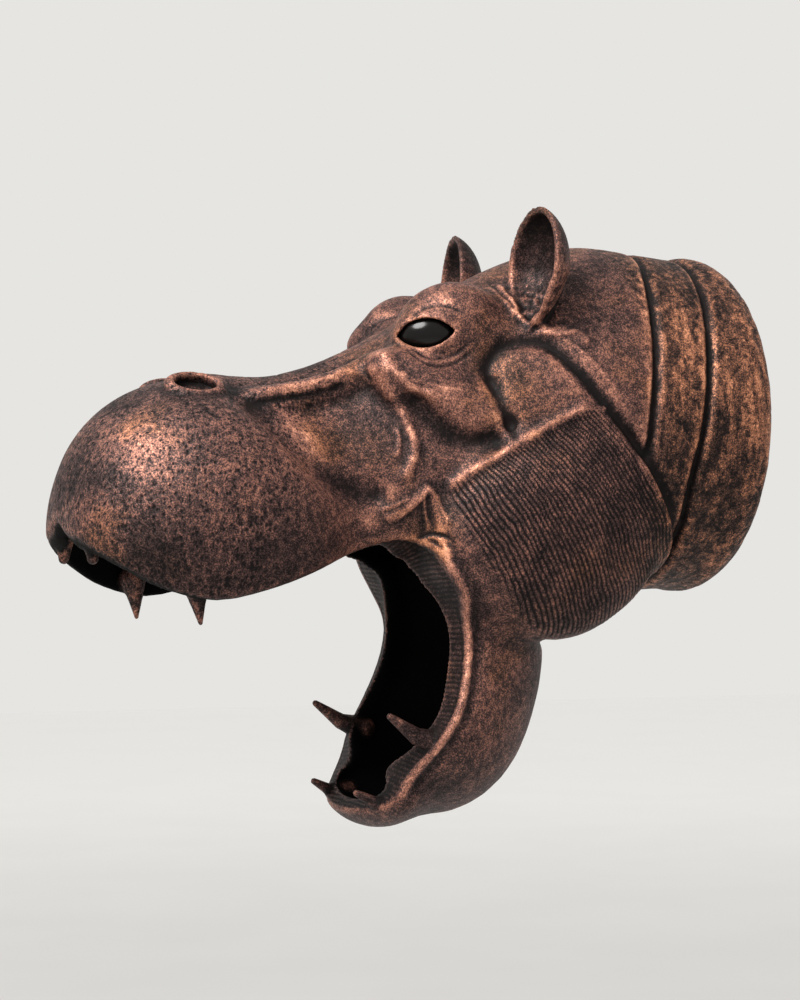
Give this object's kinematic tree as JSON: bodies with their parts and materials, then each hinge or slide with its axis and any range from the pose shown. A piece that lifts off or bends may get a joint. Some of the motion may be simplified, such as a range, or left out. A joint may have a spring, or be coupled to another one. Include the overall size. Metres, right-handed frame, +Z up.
{
  "type": "hippopotamus head wall sculpture",
  "caption": "Hollow-cast hippopotamus head with wide-open jaws, set-in eyes and a folded neck that ends in a flat back for hanging on a wall.",
  "frame": {"origin": "centre of the neck's flat back, on the wall's plane", "axes": "+Y into the wall, so the muzzle points along -Y; +Z up; +X to the animal's own left"},
  "size_m": [0.3001, 0.601, 0.5293],
  "materials": {
    "copper_patina": "cast resin, near-black brown with copper rubbed over the raised parts, matt to satin",
    "eye_black": "high gloss black"
  },
  "bodies": {
    "root": {"head": "copper_patina", "eye_left": "eye_black", "eye_right": "eye_black"}
  },
  "joints": []
}
